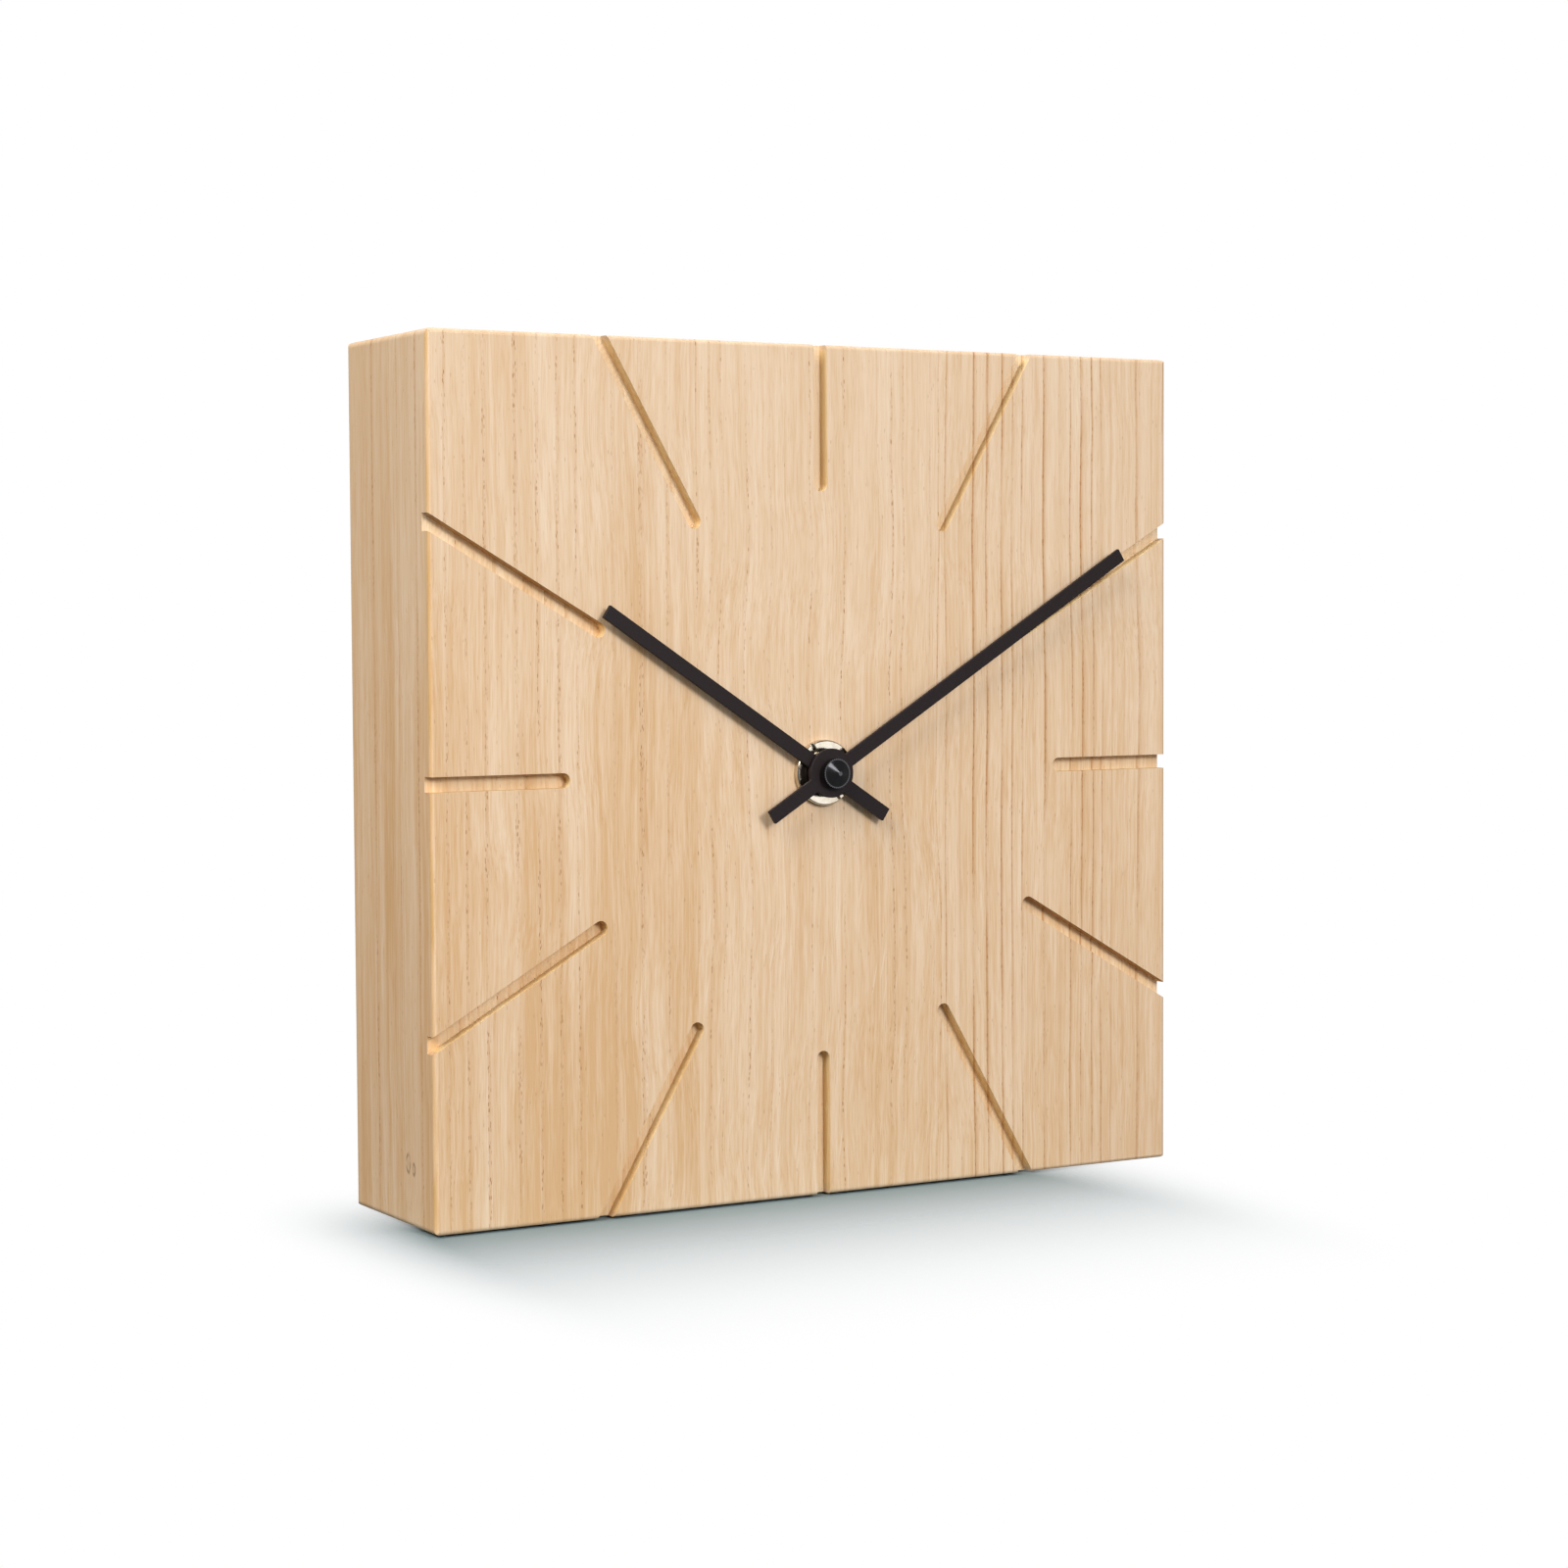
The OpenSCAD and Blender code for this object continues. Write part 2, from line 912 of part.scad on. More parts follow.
module stator() {
    lower_foot_x = rotor_at[0] + stator_ring_r;
    arm_offset = core_over / 2 + stator_arm_clear;
    color("lightsteelblue")
        dial_frame()
            layer(stator_layer[0], stator_layer[1])
                difference() {
                    union() {
                        translate(rotor_at)
                            circle(stator_ring_r);
                        difference() {
                            stator_arm(coil_low - arm_offset, lower_foot_x);
                            translate([rotor_at[0], rotor_at[1] - stator_arm_overlap])
                                square([case_size, case_size]);
                        }
                        stator_arm(coil_top + arm_offset, rotor_at[0]);
                    }
                    translate(rotor_at) {
                        circle(rotor_hole_r);
                        for (side = [-1, 1])
                            translate([side * (rotor_hole_r + stator_bridge
                                       + stator_ring_r / 2), 0])
                                square([stator_ring_r, stator_notch_w], center = true);
                    }
                }
}

// Moves children drawn around Z onto the coil's upright axis
module on_coil_axis() {
    translate([coil_x, 0, movement_low - coil_depth])
        rotate([-90, 0, 0])
            children();
}

module coil_core() {
    color("slategray")
        dial_frame()
            on_coil_axis()
                box([-core_w / 2, -core_t / 2, coil_low - core_over],
                    [core_w / 2, core_t / 2, coil_top + core_over]);
}

module coil_bobbin() {
    color("white")
        dial_frame()
            on_coil_axis()
                difference() {
                    union() {
                        rod(bobbin_r, coil_low, coil_top);
                        rod(bobbin_flange_r, coil_low, coil_low + bobbin_flange_t);
                        rod(bobbin_flange_r, coil_top - bobbin_flange_t, coil_top);
                    }
                    box([-core_w / 2, -core_t / 2, coil_low - over],
                        [core_w / 2, core_t / 2, coil_top + over]);
                }
}

module coil_winding() {
    color("peru")
        dial_frame()
            on_coil_axis()
                slab(coil_low + bobbin_flange_t, coil_top - bobbin_flange_t)
                    difference() {
                        circle(winding_r);
                        circle(bobbin_r);
                    }
}

// ---------- electronics ----------

module circuit_board() {
    color("darkgreen")
        dial_frame()
            layer(board_layer[0], board_layer[1])
                translate([board_left, board_low])
                    square([board_right - board_left, board_top - board_low]);
}

module control_chip() {
    color("black")
        dial_frame()
            translate([chip_at[0], chip_at[1], 0])
                shaft(chip_r, board_layer[1], board_layer[1] + chip_t);
}

module quartz_crystal() {
    color("silver")
        dial_frame()
            translate([crystal_at[0], crystal_at[1],
                       movement_low - plate_layer[1] - crystal_r - play])
                rotate([0, 90, 0])
                    cylinder(r = crystal_r, h = crystal_length);
}

// Nickel strip at one end of the battery bay, with a tail on the circuit board side
module positive_contact() {
    wall_x = chamber_half - contact_inset;
    nub_x = battery_end_x + battery_length + battery_nub_t + contact_clear;
    tab = [plate_layer[0], board_layer[1] + contact_t];
    color("silver")
        dial_frame() {
            box([wall_x - contact_t, battery_z - contact_w / 2,
                 movement_low - battery_depth - contact_w / 2],
                [wall_x, bay_wall_low - play, movement_low - battery_depth + contact_w / 2]);
            translate([0, battery_z, movement_low - battery_depth])
                rotate([0, 90, 0])
                    rod(contact_bump_r, nub_x, wall_x - contact_t);
            box([wall_x - contact_t, bay_wall_low - tab_reach, movement_low - tab[1]],
                [wall_x, board_low + tab_reach / 2, movement_low - tab[0]]);
            box([board_right - tab_reach / 2, board_low + tab_reach / 4, movement_low - tab[1]],
                [wall_x - contact_t / 2, board_low + tab_reach / 2,
                 movement_low - board_layer[1]]);
        }
}

module negative_contact() {
    wall_x = contact_inset - chamber_half;
    touch_x = battery_end_x - contact_clear;
    strip_back = movement_low - board_layer[1] - contact_t;
    color("silver")
        dial_frame() {
            slab(movement_low - battery_depth - contact_w / 2,
                 movement_low - battery_depth + contact_w / 2)
                polygon([
                    [wall_x, battery_z - bow_reach], [wall_x + contact_t, battery_z - bow_reach],
                    [touch_x, battery_z], [wall_x + contact_t, battery_z + bow_reach],
                    [wall_x + contact_t, bay_wall_low - play],
                    [wall_x, bay_wall_low - play]
                ]);
            box([wall_x, bay_wall_low - tab_reach, strip_back],
                [wall_x + contact_t, board_low, movement_low - plate_layer[0]]);
            box([wall_x, board_low - contact_t / 2, strip_back],
                [board_left + tab_reach / 2, board_low + contact_t / 2,
                 movement_low - board_layer[1]]);
        }
}

// ---------- battery ----------

// Moves children drawn around Z onto the battery's level axis
module on_battery_axis() {
    translate([battery_end_x, battery_z, movement_low - battery_depth])
        rotate([0, 90, 0])
            children();
}

module battery_can() {
    can_r = battery_r - battery_sleeve_t;
    color("silver")
        dial_frame()
            on_battery_axis()
                difference() {
                    union() {
                        rod(can_r, 0, battery_length);
                        rod(battery_nub_r, battery_length, battery_length + battery_nub_t);
                    }
                    rod(can_r - battery_wall, battery_wall, battery_length - battery_wall);
                }
}

module battery_core() {
    can_r = battery_r - battery_sleeve_t;
    color("dimgray")
        dial_frame()
            on_battery_axis()
                rod(can_r - battery_wall, battery_wall, battery_length - battery_wall);
}

module battery_sleeve() {
    can_r = battery_r - battery_sleeve_t;
    color("seagreen")
        dial_frame()
            on_battery_axis()
                slab(battery_sleeve_short, battery_length - battery_sleeve_short)
                    difference() {
                        circle(battery_r);
                        circle(can_r);
                    }
}

// ---------- drawn nodes ----------

oak_stave_left();
oak_stave_centre();
oak_stave_right();
hanger_plate();
hanger_screws();
dial_nut();
rubber_washer();
hour_hand();
hour_hand_collet();
minute_hand();
minute_hand_collet();
hand_cap();
movement_front_case();
movement_rear_cover();
gear_plate();
minute_arbor();
hour_wheel();
setting_wheel();
setting_knob();
clutch_spring();
centre_wheel();
third_wheel();
seconds_wheel();
intermediate_wheel();
rotor_pinion();
rotor_magnet();
stator();
coil_core();
coil_bobbin();
coil_winding();
circuit_board();
control_chip();
quartz_crystal();
positive_contact();
negative_contact();
battery_can();
battery_core();
battery_sleeve();
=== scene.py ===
"""Looks for the wall clock: an oak block modelled as three staves, black baton hands,
a slotted nickel nut on the dial and a quartz movement in the pocket behind it.

The frame is in metres. The dial faces -Y, +Z is up and the origin is the centre of
the back face. Textures are written in millimetres, on each piece's own coordinates."""

import json
import math

import bpy
from mathutils import Matrix, Vector


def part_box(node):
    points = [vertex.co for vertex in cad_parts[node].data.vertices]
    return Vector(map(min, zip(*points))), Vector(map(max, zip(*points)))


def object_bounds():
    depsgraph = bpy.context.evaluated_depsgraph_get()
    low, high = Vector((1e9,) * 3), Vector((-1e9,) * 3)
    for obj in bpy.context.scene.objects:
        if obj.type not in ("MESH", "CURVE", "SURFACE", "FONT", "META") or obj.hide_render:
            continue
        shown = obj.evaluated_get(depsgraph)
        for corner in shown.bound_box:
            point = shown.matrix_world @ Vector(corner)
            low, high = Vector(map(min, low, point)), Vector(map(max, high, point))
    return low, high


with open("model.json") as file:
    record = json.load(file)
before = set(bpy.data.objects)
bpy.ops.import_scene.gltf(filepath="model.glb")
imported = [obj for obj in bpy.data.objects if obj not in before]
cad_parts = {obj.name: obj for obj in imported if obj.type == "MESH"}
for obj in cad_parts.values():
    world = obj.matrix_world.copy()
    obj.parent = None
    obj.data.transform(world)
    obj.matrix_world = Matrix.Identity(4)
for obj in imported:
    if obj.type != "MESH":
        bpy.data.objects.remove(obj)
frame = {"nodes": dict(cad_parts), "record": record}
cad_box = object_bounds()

MM = 1000.0
nodes = frame["nodes"]


# ---------- node graphs ----------


def paint(red, green, blue):
    """A linear colour from display values of 0 to 255."""
    def linear(value):
        share = value / 255
        return share / 12.92 if share <= 0.04045 else ((share + 0.055) / 1.055) ** 2.4

    return (linear(red), linear(green), linear(blue), 1.0)


def grey(value):
    return paint(value, value, value)


class Graph:
    """One material's nodes, with a short call for each kind of node that it uses.
    A value given to a call is a number, a colour, a vector or another node's output."""

    def __init__(self, name):
        self.material = bpy.data.materials.new(name)
        self.material.use_nodes = True
        self.tree = self.material.node_tree
        self.shader = self.tree.nodes["Principled BSDF"]
        coordinates = self.tree.nodes.new("ShaderNodeTexCoord")
        self.normal = coordinates.outputs["Normal"]
        self.place = self.vector("MULTIPLY", coordinates.outputs["Object"], (MM, MM, MM))

    def feed(self, socket, value):
        if isinstance(value, bpy.types.NodeSocket):
            self.tree.links.new(value, socket)
        else:
            socket.default_value = value

    def surface(self, **values):
        """Sets the shader's sockets: words in a name are joined by an underscore."""
        for name, value in values.items():
            self.feed(self.shader.inputs[name.replace("_", " ")], value)

    def math(self, operation, *values):
        node = self.tree.nodes.new("ShaderNodeMath")
        node.operation = operation
        for socket, value in zip(node.inputs, values):
            self.feed(socket, value)
        return node.outputs[0]

    def vector(self, operation, *values):
        node = self.tree.nodes.new("ShaderNodeVectorMath")
        node.operation = operation
        for socket, value in zip(node.inputs, values):
            self.feed(socket, value)
        return node.outputs["Value" if operation == "LENGTH" else "Vector"]

    def split(self, value):
        node = self.tree.nodes.new("ShaderNodeSeparateXYZ")
        self.feed(node.inputs[0], value)
        return node.outputs["X"], node.outputs["Y"], node.outputs["Z"]

    def join(self, x, y, z):
        node = self.tree.nodes.new("ShaderNodeCombineXYZ")
        for socket, value in zip(node.inputs, (x, y, z)):
            self.feed(socket, value)
        return node.outputs[0]

    def fit(self, value, low, high, to_low=0.0, to_high=1.0):
        """Carries low..high smoothly onto to_low..to_high, and holds it there outside."""
        node = self.tree.nodes.new("ShaderNodeMapRange")
        node.interpolation_type = "SMOOTHSTEP"
        for socket, number in zip(node.inputs, (value, low, high, to_low, to_high)):
            self.feed(socket, number)
        return node.outputs["Result"]

    def mix(self, share, first, second, blend="MIX"):
        """Mixes two colours, by share of the second."""
        node = self.tree.nodes.new("ShaderNodeMix")
        node.data_type = "RGBA"
        node.blend_type = blend
        inputs = {s.identifier: s for s in node.inputs}
        self.feed(inputs["Factor_Float"], share)
        self.feed(inputs["A_Color"], first)
        self.feed(inputs["B_Color"], second)
        return next(s for s in node.outputs if s.identifier == "Result_Color")

    def noise(self, stretch, detail=2.0, roughness=0.5, place=None):
        """Noise from 0 to 1. Stretch is how many features fit in a millimetre along X, Y, Z."""
        node = self.tree.nodes.new("ShaderNodeTexNoise")
        node.inputs["Scale"].default_value = 1.0
        node.inputs["Detail"].default_value = detail
        node.inputs["Roughness"].default_value = roughness
        scaled = self.vector("MULTIPLY", self.place if place is None else place, stretch)
        self.feed(node.inputs["Vector"], scaled)
        return node.outputs[0]

    def cells(self, stretch, place=None):
        """Scattered points: the distance to the nearest one, and its own random number."""
        node = self.tree.nodes.new("ShaderNodeTexVoronoi")
        node.inputs["Scale"].default_value = 1.0
        scaled = self.vector("MULTIPLY", self.place if place is None else place, stretch)
        self.feed(node.inputs["Vector"], scaled)
        return node.outputs["Distance"], self.split(node.outputs["Color"])[0]

    def bump(self, height, depth, under=None):
        """A normal from a height of 0 to 1 that stands for depth millimetres."""
        node = self.tree.nodes.new("ShaderNodeBump")
        node.inputs["Distance"].default_value = depth / MM
        self.feed(node.inputs["Height"], height)
        if under is not None:
            self.feed(node.inputs["Normal"], under)
        return node.outputs[0]

    def around(self, centre):
        """Distance in millimetres from the axis along Y through a point of the frame."""
        x, _, z = self.split(self.place)
        across = self.math("SUBTRACT", x, centre.x * MM)
        up = self.math("SUBTRACT", z, centre.z * MM)
        return self.vector("LENGTH", self.join(across, 0.0, up))


def middle(node):
    low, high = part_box(node)
    return (low + high) / 2


# ---------- oak ----------

dial_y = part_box("oak_stave_left")[0].y * MM
block_half = (cad_box[1] * MM).x
groove_depth = 3.0
edge_round = 0.9
chatter_pitch = 1.1

# Heights and widths on the dial, in millimetres from its centre, between which tones change: the
# heights bound the painted light and shade from foot to top.
tone_foot, tone_top = -85.0, 85.0
top_light_start = -10.0
lines_near, lines_far = 10.0, 45.0

pale_wood = paint(229, 207, 181)
tan_wood = paint(208, 170, 127)
deep_wood = paint(178, 124, 72)
top_light_wood = paint(206, 186, 162)
pore_wood = paint(156, 110, 66)
fleck_wood = paint(230, 212, 190)
milled_and_shaded_wood = paint(186, 138, 76)
underside_shade_wood = paint(138, 82, 38)

# Factors on the wood's colour in the grooves, tuned so that their floors and walls, which lie
# in the block's own shade here, come out in the photo's tones.
floor_lift = (1.14, 1.17, 1.13, 1.0)
wall_lift = (1.1, 1.14, 0.95, 1.0)

edge_shade_tone = paint(192, 152, 92)
knot_wood = paint(112, 82, 56)


def wandering(graph, place):
    """The same place, moved sideways a little so that the grain wanders on its way up."""
    slow = graph.noise((0.022, 0.022, 0.016), 2.0, place=place)
    quick = graph.noise((0.16, 0.16, 0.05), 2.0, place=place)
    aside = graph.math("MULTIPLY_ADD", quick, 0.5, graph.math("MULTIPLY", slow, 6.0))
    return graph.vector("ADD", place, graph.join(aside, aside, 0.0))


def growth_rings(graph, pith, ring_width, place, seed):
    """Growth rings about an upright pith: how far through its ring a place is, from 0 to 1,
    and how strong that ring is."""
    x, y, _ = graph.split(place)
    across = graph.math("SUBTRACT", x, pith[0] + seed[0])
    deep = graph.math("SUBTRACT", y, pith[1] + seed[1])
    radius = graph.vector("LENGTH", graph.join(across, deep, 0.0))
    crowding = graph.noise((0.07, 0.0, 0.0), 1.0, place=graph.join(radius, 0.0, 0.0))
    turns = graph.math("MULTIPLY_ADD", crowding, 2.6, graph.math("DIVIDE", radius, ring_width))
    phase = graph.math("FRACT", turns)
    number = graph.tree.nodes.new("ShaderNodeTexWhiteNoise")
    number.noise_dimensions = "1D"
    graph.feed(number.inputs["W"], graph.math("FLOOR", turns))
    return phase, number.outputs["Value"]


def milled_masks(graph):
    """Where the surface is a groove's wall, a groove's floor, an upright rounded edge of the
    dial face, or a wall that faces down, which gets painted shade."""
    x, y, z = graph.split(graph.place)
    _, normal_y, normal_z = graph.split(graph.normal)
    facing = graph.math("ABSOLUTE", normal_y)
    reach = graph.math("MAXIMUM", graph.math("ABSOLUTE", x), graph.math("ABSOLUTE", z))
    inside = graph.fit(reach, block_half - edge_round, block_half - edge_round - 0.2)
    in_groove = graph.fit(y, dial_y + groove_depth + 0.1, dial_y + groove_depth + 0.05)
    sideways = graph.fit(facing, 0.6, 0.4)
    wall = graph.math("MULTIPLY", graph.math("MULTIPLY", sideways, in_groove), inside)
    below_dial = graph.fit(y, dial_y + groove_depth - 0.2, dial_y + groove_depth - 0.1)
    floor = graph.math("MULTIPLY", below_dial, graph.fit(facing, 0.6, 0.8))
    floor = graph.math("MULTIPLY", floor, in_groove)
    tilt = graph.fit(facing, 0.97, 0.75)
    turned = graph.math("MULTIPLY", tilt, graph.fit(facing, 0.05, 0.3))
    at_dial = graph.fit(y, dial_y + edge_round + 0.2, dial_y + edge_round)
    edge = graph.math("MULTIPLY", turned, graph.math("SUBTRACT", 1.0, inside))
    upright = graph.fit(graph.math("ABSOLUTE", normal_z), 0.5, 0.3)
    edge = graph.math("MULTIPLY", graph.math("MULTIPLY", edge, upright), at_dial)
    # Walls that face down, for painted shade.
    under = graph.math("MULTIPLY", wall, graph.fit(normal_z, -0.55, -0.9))
    return wall, floor, edge, under


def pin_knots(graph, knots):
    """Small upright oval knots on the left side face, each as (y, z, radius), with a broken
    dark rim."""
    x, y, z = graph.split(graph.place)
    broken = graph.fit(graph.noise((0.7, 0.7, 0.5), 2.0), 0.35, 0.6, 0.15, 1.0)
    shade = 0.0
    for knot_y, knot_z, radius in knots:
        deep = graph.math("SUBTRACT", y, knot_y)
        up = graph.math("MULTIPLY", graph.math("SUBTRACT", z, knot_z), 0.55)
        away = graph.vector("LENGTH", graph.join(deep, up, 0.0))
        rim = graph.math("ABSOLUTE", graph.math("SUBTRACT", away, radius))
        ring = graph.math("MULTIPLY", graph.fit(rim, 0.4, 0.05), broken)
        heart = graph.fit(away, radius, 0.0, 0.0, 0.35)
        shade = graph.math("MAXIMUM", graph.math("MAXIMUM", ring, heart), shade)
    at_side = graph.fit(x, -block_half + 3.0, -block_half + 1.0, 0.0, 0.6)
    return graph.math("MULTIPLY", shade, at_side)


def oak(name, pith, ring_width, seed, warmth, bands, streaks, lines, flecks=0.0, knots=()):
    """One stave: growth lines, streaks, rows of open pores, ray flecks and milled surfaces,
    with painted light and shade from foot to top, in the grooves and on the upright edges.
    Warmth, bands and streaks are shares of the tan tone. Lines is the strength of the growth
    lines at lines_near and at lines_far. Flecks is the strength of the rays."""
    graph = Graph(name)
    aside, _, height = graph.split(graph.place)
    normal_x, _, normal_z = graph.split(graph.normal)
    side = graph.fit(graph.math("ABSOLUTE", normal_x), 0.8, 0.95)
    moved = wandering(graph, graph.vector("ADD", graph.place, seed))
    phase, vigour = growth_rings(graph, pith, ring_width, moved, seed)

    broad = graph.noise((0.075, 0.075, 0.006), 2.0, 0.5, moved)
    streak = graph.noise((0.42, 0.42, 0.009), 3.0, 0.6, moved)
    fibre = graph.noise((1.6, 1.6, 0.03), 3.0, 0.6, moved)
    hair = graph.noise((4.5, 4.5, 0.16), 2.0, 0.5, moved)
    along = graph.noise((0.2, 0.2, 0.026), 2.0, 0.5, moved)

    # Painted light and shade, after the photo: the wood is warmer and darker at the foot and
    # paler at the top, here and, further down, with the painted top light.
    tan = graph.math("ADD", graph.fit(height, tone_top, tone_foot, 0.0, 0.14), warmth)
    tan = graph.math("ADD", graph.fit(broad, 0.32, 0.68, 0.0, bands), tan)
    tan = graph.math("ADD", graph.fit(streak, 0.3, 0.7, 0.0, streaks), tan)
    tan = graph.math("ADD", graph.fit(fibre, 0.3, 0.7, 0.0, 0.36), tan)
    tan = graph.math("ADD", graph.fit(hair, 0.3, 0.7, 0.0, 0.22), tan)
    colour = graph.mix(tan, pale_wood, tan_wood)
    top_light = graph.fit(height, top_light_start, tone_top, 0.0, 0.28)
    colour = graph.mix(top_light, colour, top_light_wood)

    fading = graph.fit(phase, 0.05, 0.38, 1.0, 0.0)
    crisp = graph.fit(phase, 0.05, 0.2, 1.0, 0.0)
    starting = graph.fit(phase, 0.0, 0.05)
    shown = graph.math("MULTIPLY", graph.fit(vigour, 0.1, 0.8, 0.15, 1.0),
                       graph.fit(along, 0.34, 0.56, 0.25, 1.0))
    line = graph.math("MULTIPLY_ADD", crisp, graph.math("MULTIPLY_ADD", side, 0.4, 0.5),
                      graph.math("MULTIPLY", fading, 0.4))
    line = graph.math("MULTIPLY", graph.math("MULTIPLY", line, starting), shown)
    line = graph.math("MULTIPLY", line, graph.fit(aside, lines_near, lines_far, *lines))
    colour = graph.mix(line, colour, deep_wood)
    thread = graph.math("MULTIPLY", graph.fit(hair, 0.54, 0.7),
                        graph.math("MULTIPLY_ADD", line, 0.7, 0.12))
    colour = graph.mix(thread, colour, deep_wood)

    if flecks:
        x, y, z = graph.split(moved)
        leaning = graph.join(graph.math("MULTIPLY_ADD", z, -0.17, x), y, z)
        distance, chance = graph.cells((1.25, 0.3, 0.062), leaning)
        ray = graph.math("MULTIPLY", graph.fit(distance, 0.32, 0.1), graph.fit(chance, 0.55, 0.8))
        ray = graph.math("MULTIPLY", ray, graph.fit(height, 30.0, -35.0, 0.12, flecks))
        colour = graph.mix(ray, colour, fleck_wood)

    distance, chance = graph.cells((3.0, 3.0, 0.7), moved)
    dash = graph.fit(distance, 0.42, 0.24)
    row = graph.math("MULTIPLY", graph.fit(phase, 0.2, 0.1), graph.fit(phase, 0.0, 0.03))
    row = graph.math("MULTIPLY", row, graph.math("MULTIPLY", shown, graph.fit(vigour, 0.3, 0.5)))
    in_row = graph.math("MULTIPLY", graph.math("MULTIPLY", dash, graph.fit(chance, 0.15, 0.5)), row)
    stray = graph.math("MULTIPLY", dash, graph.fit(chance, 0.975, 0.99, 0.0, 0.4))
    pore = graph.math("MAXIMUM", in_row, stray)
    colour = graph.mix(graph.math("MULTIPLY", pore, 0.85), colour, pore_wood)

    end_grain = graph.fit(graph.math("ABSOLUTE", normal_z), 0.7, 0.95)
    wall, floor, edge, under = milled_masks(graph)
    end_grain = graph.math("MULTIPLY", end_grain, graph.math("SUBTRACT", 1.0, wall))
    colour = graph.mix(graph.math("MULTIPLY", end_grain, 0.3), colour, deep_wood)
    # Groove walls take a milled tone and painted shade, darker the less they face up.
    darkened = graph.math("MULTIPLY", wall, graph.fit(normal_z, 0.4, -0.1))
    darkened = graph.math("MULTIPLY", darkened, graph.fit(fibre, 0.25, 0.75, 0.1, 0.4))
    colour = graph.mix(darkened, colour, milled_and_shaded_wood)
    # Painted light: the shaded groove walls and floors are brightened.
    colour = graph.mix(wall, colour, wall_lift, "MULTIPLY")
    colour = graph.mix(floor, colour, floor_lift, "MULTIPLY")
    # Painted shade on the groove walls that face down.
    colour = graph.mix(graph.math("MULTIPLY", under, 0.55), colour, underside_shade_wood)
    # Painted shade: an ochre tone on the upright rounded edges of the dial face, patchy along them.
    wear_and_edge_shade = graph.fit(graph.noise((0.05, 0.05, 0.05), 2.0), 0.35, 0.65, 0.2, 0.75)
    colour = graph.mix(graph.math("MULTIPLY", edge, wear_and_edge_shade), colour, edge_shade_tone)
    if knots:
        colour = graph.mix(pin_knots(graph, knots), colour, knot_wood)

    from_axis = graph.around(Vector())
    chatter = graph.math("SINE", graph.math("MULTIPLY", from_axis, 2 * math.pi / chatter_pitch))
    ridges = graph.math("MULTIPLY", graph.fit(chatter, -1.0, 1.0), floor)
    relief = graph.bump(graph.math("SUBTRACT", 1.0, pore), 0.015)
    relief = graph.bump(fibre, 0.03, relief)
    relief = graph.bump(ridges, 0.02, relief)
    rough = graph.fit(fibre, 0.2, 0.8, 0.5, 0.66)
    rough = graph.math("MULTIPLY_ADD", pore, 0.2, rough)
    graph.surface(Base_Color=colour, Roughness=rough, Normal=relief, Specular_IOR_Level=0.25)
    return graph.material


# ---------- metals ----------


def turned_metal(name, centre, colour, shade, roughness, lines):
    """Metal cut on a lathe: fine rings about the piece's own axis, which runs along Y."""
    graph = Graph(name)
    radius = graph.around(centre)
    _, y, _ = graph.split(graph.place)
    along = graph.join(radius, y, 0.0)
    cut = graph.noise((lines, lines * 0.6, 0.0), 3.0, 0.65, along)
    tarnish = graph.noise((0.35, 0.35, 0.35), 3.0, 0.6)
    tint = graph.mix(graph.fit(tarnish, 0.35, 0.75), colour, shade)
    rough = graph.fit(cut, 0.2, 0.8, roughness * 0.7, roughness * 1.4)
    graph.surface(Base_Color=tint, Metallic=1.0, Roughness=rough, Normal=graph.bump(cut, 0.004))
    return graph.material


def rolled_metal(name, colour, shade, roughness, grain):
    """Sheet metal: long fine scratches along one axis, with a cloudy plated tone."""
    graph = Graph(name)
    scratch = graph.noise(grain, 3.0, 0.7)
    plating = graph.noise((0.5, 0.5, 0.5), 3.0, 0.6)
    spangle = graph.cells((0.9, 0.9, 0.9))[1]
    tone = graph.math("MULTIPLY_ADD", spangle, 0.35, graph.math("MULTIPLY", plating, 0.65))
    tint = graph.mix(graph.fit(tone, 0.25, 0.75), colour, shade)
    rough = graph.fit(scratch, 0.2, 0.8, roughness * 0.75, roughness * 1.3)
    graph.surface(Base_Color=tint, Metallic=1.0, Roughness=rough, Normal=graph.bump(scratch, 0.006))
    return graph.material


def satin_black(name):
    """Sprayed satin black over stamped aluminium, with a faint orange peel."""
    graph = Graph(name)
    peel = graph.noise((2.6, 2.6, 2.6), 2.0)
    dust = graph.noise((14.0, 14.0, 14.0), 2.0)
    tint = graph.mix(graph.fit(peel, 0.3, 0.7), paint(31, 24, 26), paint(37, 29, 31))
    rough = graph.fit(dust, 0.25, 0.75, 0.46, 0.58)
    relief = graph.bump(dust, 0.001, graph.bump(peel, 0.003))
    graph.surface(Base_Color=tint, Roughness=rough, Normal=relief, Specular_IOR_Level=0.18)
    return graph.material


def gloss_black(name, centre):
    """Black plate over turned brass: fine rings under a shiny coat."""
    graph = Graph(name)
    radius = graph.around(centre)
    cut = graph.noise((7.0, 7.0, 0.0), 3.0, 0.6, graph.join(radius, 0.0, 0.0))
    tint = graph.mix(graph.fit(cut, 0.3, 0.7), paint(56, 56, 59), paint(74, 73, 76))
    rough = graph.fit(cut, 0.2, 0.8, 0.12, 0.22)
    graph.surface(Base_Color=tint, Metallic=0.95, Roughness=rough, Normal=graph.bump(cut, 0.003),
                  Coat_Weight=0.5, Coat_Roughness=0.08)
    return graph.material


def sintered(name):
    """Pressed magnet: a dark grain with brighter specks."""
    graph = Graph(name)
    grain = graph.noise((9.0, 9.0, 9.0), 3.0, 0.7)
    speck = graph.fit(graph.cells((5.0, 5.0, 5.0))[1], 0.8, 1.0)
    tint = graph.mix(graph.math("MULTIPLY", speck, grain), grey(70), grey(130))
    graph.surface(Base_Color=tint, Metallic=0.8, Roughness=0.5, Normal=graph.bump(grain, 0.01))
    return graph.material


